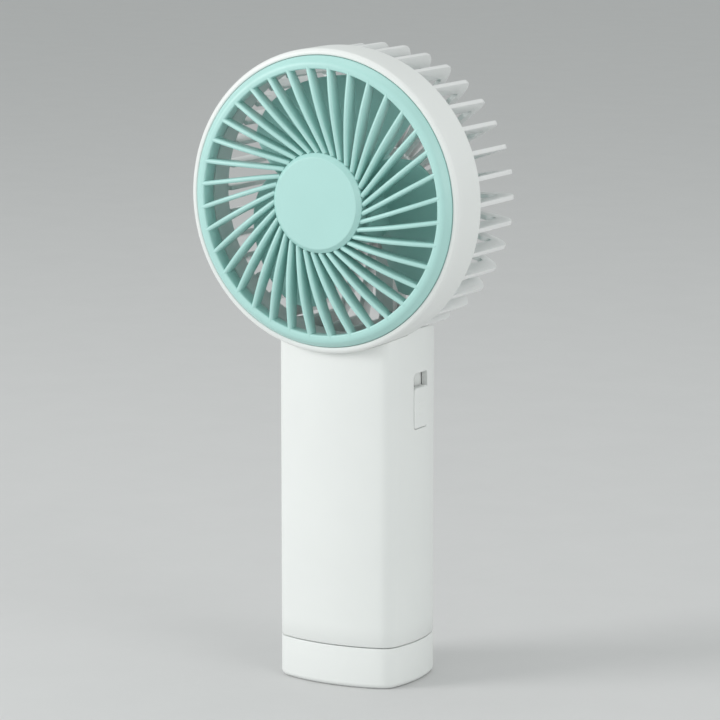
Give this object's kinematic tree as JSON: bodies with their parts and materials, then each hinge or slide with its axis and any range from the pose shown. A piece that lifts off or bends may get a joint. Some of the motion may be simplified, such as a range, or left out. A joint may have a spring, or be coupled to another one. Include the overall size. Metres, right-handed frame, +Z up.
{
  "type": "handheld electric fan",
  "caption": "Battery handheld fan: round head with swirled front grille, broad-bladed impeller and ribbed rear cage on an upright handle with a side slide switch.",
  "frame": {"origin": "centre of the flat underside of the base, on the handle's centre line", "axes": "+Z up along the handle to the head, -Y the way the air leaves the front grille, +X the side with the slide switch"},
  "size_m": [0.094, 0.0451, 0.2],
  "materials": {
    "white_plastic": "satin",
    "grey_plastic": "matte",
    "cell_wrap": "satin",
    "nickel": "satin",
    "green_board": "satin",
    "steel": "satin",
    "black_plastic": "matte",
    "ferrite": "matte",
    "clear_plastic": "gloss",
    "red_wire": "satin",
    "black_wire": "satin",
    "white_wire": "satin",
    "mint_plastic": "satin",
    "magnet": "matte",
    "aluminium": "satin",
    "copper": "satin"
  },
  "bodies": {
    "body": {"handle_shell": "white_plastic", "base_cap": "white_plastic", "inner_frame": "grey_plastic", "battery_cell_left": "cell_wrap", "battery_cell_right": "cell_wrap", "battery_strap_bottom": "nickel", "battery_strap_left": "nickel", "battery_strap_right": "nickel", "main_board": "green_board", "usb_port_shell": "steel", "usb_port_tongue": "black_plastic", "motor_driver_chip": "black_plastic", "charger_chip": "black_plastic", "boost_inductor": "ferrite", "charge_led": "clear_plastic", "led_light_pipe": "clear_plastic", "switch_track": "white_plastic", "slide_switch_body": "steel", "switch_board": "green_board", "switch_ribbon": "grey_plastic", "battery_lead_red": "red_wire", "battery_lead_black": "black_wire", "base_screw_left": "steel", "neck_screw_left": "steel", "board_screw_left": "steel", "base_screw_right": "steel", "neck_screw_right": "steel", "board_screw_right": "steel", "motor_lead_1": "white_wire", "motor_lead_2": "white_wire", "motor_lead_3": "white_wire", "drum_shell": "white_plastic", "rear_cage": "white_plastic", "rear_hub_cap": "white_plastic", "wire_cover": "white_plastic", "stator_core": "steel", "motor_base": "aluminium", "motor_board": "green_board", "bearing_front": "steel", "bearing_rear": "steel", "stator_winding_1": "copper", "stator_winding_2": "copper", "stator_winding_3": "copper", "stator_winding_4": "copper", "stator_winding_5": "copper", "stator_winding_6": "copper", "motor_screw_1": "steel", "motor_screw_2": "steel", "motor_screw_3": "steel"},
    "rotor": {"impeller": "mint_plastic", "impeller_nut": "steel", "rotor_can": "steel", "rotor_magnet": "magnet", "motor_shaft": "steel"},
    "switch_slider": {"switch_knob": "white_plastic", "switch_actuator": "black_plastic"},
    "grille": {"front_grille": "mint_plastic", "grille_badge": "mint_plastic"}
  },
  "joints": [
    {"name": "rotor_spin", "type": "hinge", "parent": "body", "child": "rotor", "pos_m": [0, 0, 0.153], "axis": [0, 1, 0], "continuous": true},
    {"name": "switch_slide", "type": "slide", "parent": "body", "child": "switch_slider", "axis": [0, 0, 1], "range_m": [0, 0.0044]},
    {"name": "grille_twist", "type": "hinge", "parent": "body", "child": "grille", "pos_m": [0, 0, 0.153], "axis": [0, -1, 0], "range_deg": [0, 20]}
  ]
}
